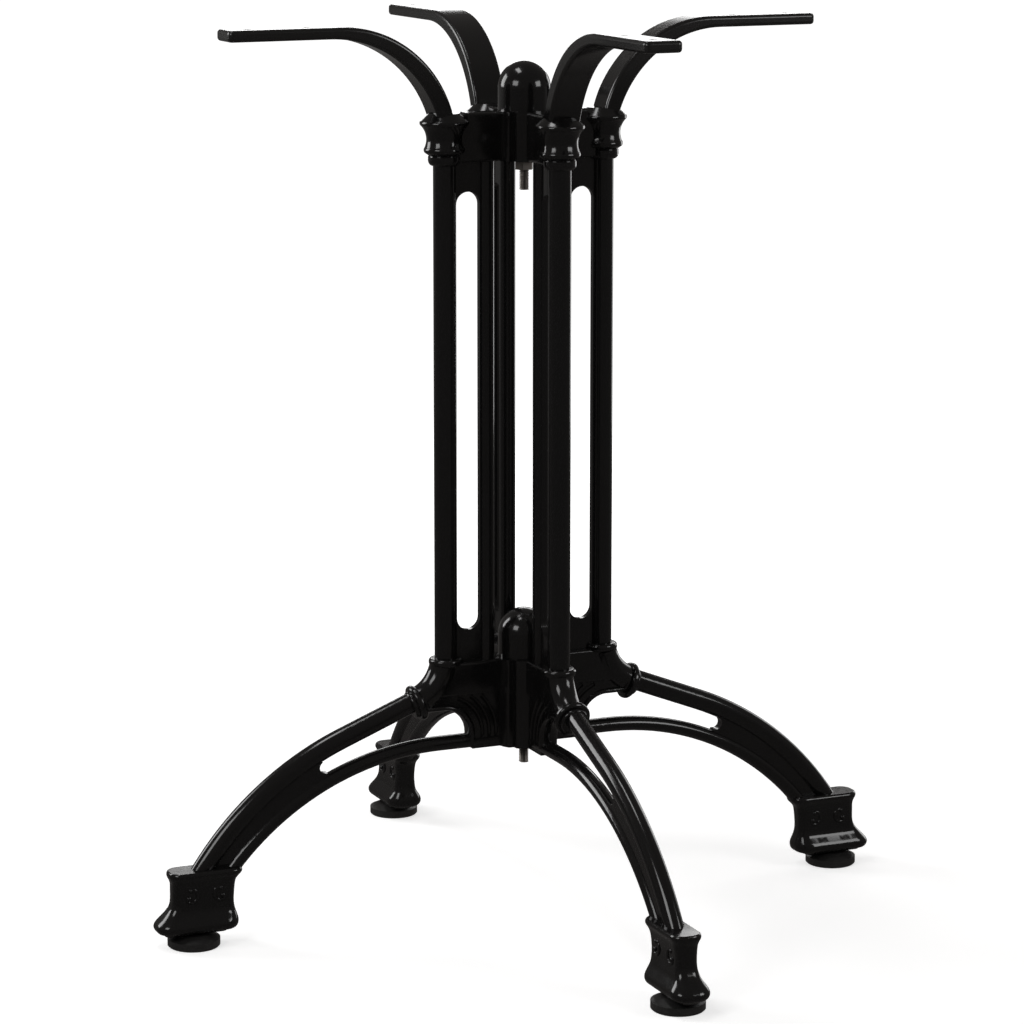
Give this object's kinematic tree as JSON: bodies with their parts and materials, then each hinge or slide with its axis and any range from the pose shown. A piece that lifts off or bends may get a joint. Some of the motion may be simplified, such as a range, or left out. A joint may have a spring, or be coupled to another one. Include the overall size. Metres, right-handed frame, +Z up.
{
  "type": "cast table base",
  "caption": "Gloss black cast pedestal base with a cross of curved top arms, slotted upright columns and arched legs on levelling glides.",
  "frame": {"origin": "centre of the floor contact plane, under the crossing of the arms", "axes": "+Z up along the pedestal's centre line; +X and +Y run out along two neighbouring legs and the top arms above them"},
  "size_m": [0.6338, 0.6338, 0.72],
  "materials": {
    "black_paint": "gloss",
    "steel": "satin",
    "black_plastic": "satin"
  },
  "bodies": {
    "base": {"top_arm_1": "black_paint", "column_1": "black_paint", "leg_1": "black_paint", "tie_rod_1": "steel", "tie_nut_1": "steel", "top_arm_2": "black_paint", "column_2": "black_paint", "leg_2": "black_paint", "tie_rod_2": "steel", "tie_nut_2": "steel", "top_arm_3": "black_paint", "column_3": "black_paint", "leg_3": "black_paint", "tie_rod_3": "steel", "tie_nut_3": "steel", "top_arm_4": "black_paint", "column_4": "black_paint", "leg_4": "black_paint", "tie_rod_4": "steel", "tie_nut_4": "steel", "top_dome_cap": "black_paint", "top_clamp_stud": "steel", "top_clamp_washer": "steel", "top_clamp_nut": "steel", "bottom_dome_cap": "black_paint", "bottom_clamp_stud": "steel", "bottom_clamp_washer": "steel", "bottom_clamp_nut": "steel"},
    "glide_1": {"glide_disc_1": "black_plastic", "glide_stud_1": "steel"},
    "glide_2": {"glide_disc_2": "black_plastic", "glide_stud_2": "steel"},
    "glide_3": {"glide_disc_3": "black_plastic", "glide_stud_3": "steel"},
    "glide_4": {"glide_disc_4": "black_plastic", "glide_stud_4": "steel"}
  },
  "joints": [
    {"name": "glide_1_height", "type": "slide", "parent": "base", "child": "glide_1", "axis": [0, 0, -1], "range_m": [0, 0.01]},
    {"name": "glide_2_height", "type": "slide", "parent": "base", "child": "glide_2", "axis": [0, 0, -1], "range_m": [0, 0.01]},
    {"name": "glide_3_height", "type": "slide", "parent": "base", "child": "glide_3", "axis": [0, 0, -1], "range_m": [0, 0.01]},
    {"name": "glide_4_height", "type": "slide", "parent": "base", "child": "glide_4", "axis": [0, 0, -1], "range_m": [0, 0.01]}
  ]
}
